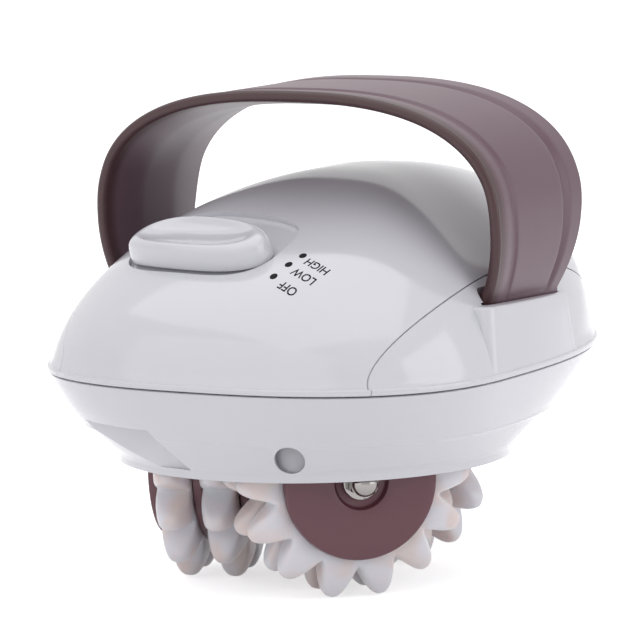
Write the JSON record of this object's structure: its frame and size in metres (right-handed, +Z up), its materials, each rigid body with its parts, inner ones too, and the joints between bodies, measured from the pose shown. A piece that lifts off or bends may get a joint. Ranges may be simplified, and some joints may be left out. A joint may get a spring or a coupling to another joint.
{
  "type": "handheld roller massager",
  "caption": "Egg-shaped handheld massager with a hand strap, an oval slide switch and a motor-driven turret of toothed rollers under the body.",
  "frame": {"origin": "on the surface the massager stands on, below the middle of the body's length and width", "axes": "+X along the body from the switch end to the rear, +Y across the body, +Z up"},
  "size_m": [0.15, 0.12, 0.1222],
  "materials": {
    "white_shell": "high gloss moulded white",
    "mauve_rubber": "matte moulded mauve rubber",
    "mauve_plastic": "satin moulded mauve plastic",
    "ivory_ring": "soft translucent ivory plastic",
    "nylon": "natural nylon",
    "brass": "turned",
    "board": "solder mask",
    "black_plastic": "moulded",
    "chrome": "polished plating",
    "steel": "drawn steel"
  },
  "bodies": {
    "housing": {"top_shell": "white_shell", "lower_housing": "white_shell", "side_panel_near": "white_shell", "side_panel_far": "white_shell", "strap": "mauve_rubber", "strap_pin_near": "steel", "strap_pin_far": "steel", "switch_body": "black_plastic", "circuit_board": "board", "board_screw_1": "steel", "board_screw_2": "steel", "mounting_plate": "nylon", "plate_screw_1": "steel", "plate_screw_2": "steel", "plate_screw_3": "steel", "plate_screw_4": "steel", "case_screw_near": "steel", "case_screw_far": "steel", "power_jack": "black_plastic", "bearing_bush": "brass", "compound_pin": "steel", "motor": "steel", "motor_clamp": "steel"},
    "turret": {"output_shaft": "steel", "output_gear": "nylon", "roller_carrier": "mauve_plastic", "roller_1_axle": "steel", "roller_1_washer": "chrome", "roller_1_nut": "chrome", "roller_2_axle": "steel", "roller_2_washer": "chrome", "roller_2_nut": "chrome", "roller_3_axle": "steel", "roller_3_washer": "chrome", "roller_3_nut": "chrome"},
    "roller_1": {"roller_1_hub": "mauve_plastic", "roller_1_outer_ring": "ivory_ring", "roller_1_inner_ring": "ivory_ring", "roller_1_cap": "mauve_plastic"},
    "roller_2": {"roller_2_hub": "mauve_plastic", "roller_2_outer_ring": "ivory_ring", "roller_2_inner_ring": "ivory_ring", "roller_2_cap": "mauve_plastic"},
    "roller_3": {"roller_3_hub": "mauve_plastic", "roller_3_outer_ring": "ivory_ring", "roller_3_inner_ring": "ivory_ring", "roller_3_cap": "mauve_plastic"},
    "compound": {"compound_gear": "nylon"},
    "worm_shaft": {"worm": "brass", "motor_shaft": "steel"},
    "slider": {"switch_knob": "white_shell", "switch_lever": "black_plastic"}
  },
  "joints": [
    {"name": "turret_spin", "type": "hinge", "parent": "housing", "child": "turret", "pos_m": [-0.0151, 0, 0.06268], "axis": [0, 0, 1], "continuous": true},
    {"name": "roller_1_spin", "type": "hinge", "parent": "turret", "child": "roller_1", "pos_m": [-0.03215, -0.01828, 0.02918], "axis": [-0.682, -0.7314, 0], "continuous": true},
    {"name": "roller_2_spin", "type": "hinge", "parent": "turret", "child": "roller_2", "pos_m": [0.00926, -0.00562, 0.02918], "axis": [0.9744, -0.225, 0], "continuous": true},
    {"name": "roller_3_spin", "type": "hinge", "parent": "turret", "child": "roller_3", "pos_m": [-0.02241, 0.02391, 0.02918], "axis": [-0.2924, 0.9563, 0], "continuous": true},
    {"name": "compound_spin", "type": "hinge", "parent": "housing", "child": "compound", "pos_m": [-0.00392, -0.01936, 0.06733], "axis": [0, 0, 1], "continuous": true},
    {"name": "motor_spin", "type": "hinge", "parent": "housing", "child": "worm_shaft", "pos_m": [0, -0.00481, 0.07723], "axis": [1, 0, 0], "continuous": true},
    {"name": "switch_slide", "type": "slide", "parent": "housing", "child": "slider", "axis": [0.9109, -0.128, 0.3924], "range_m": [0, 0.0096]}
  ],
  "couplings": [
    {"joint": "compound_spin", "follows": "turret_spin", "ratio": -3},
    {"joint": "motor_spin", "follows": "turret_spin", "ratio": -72}
  ]
}
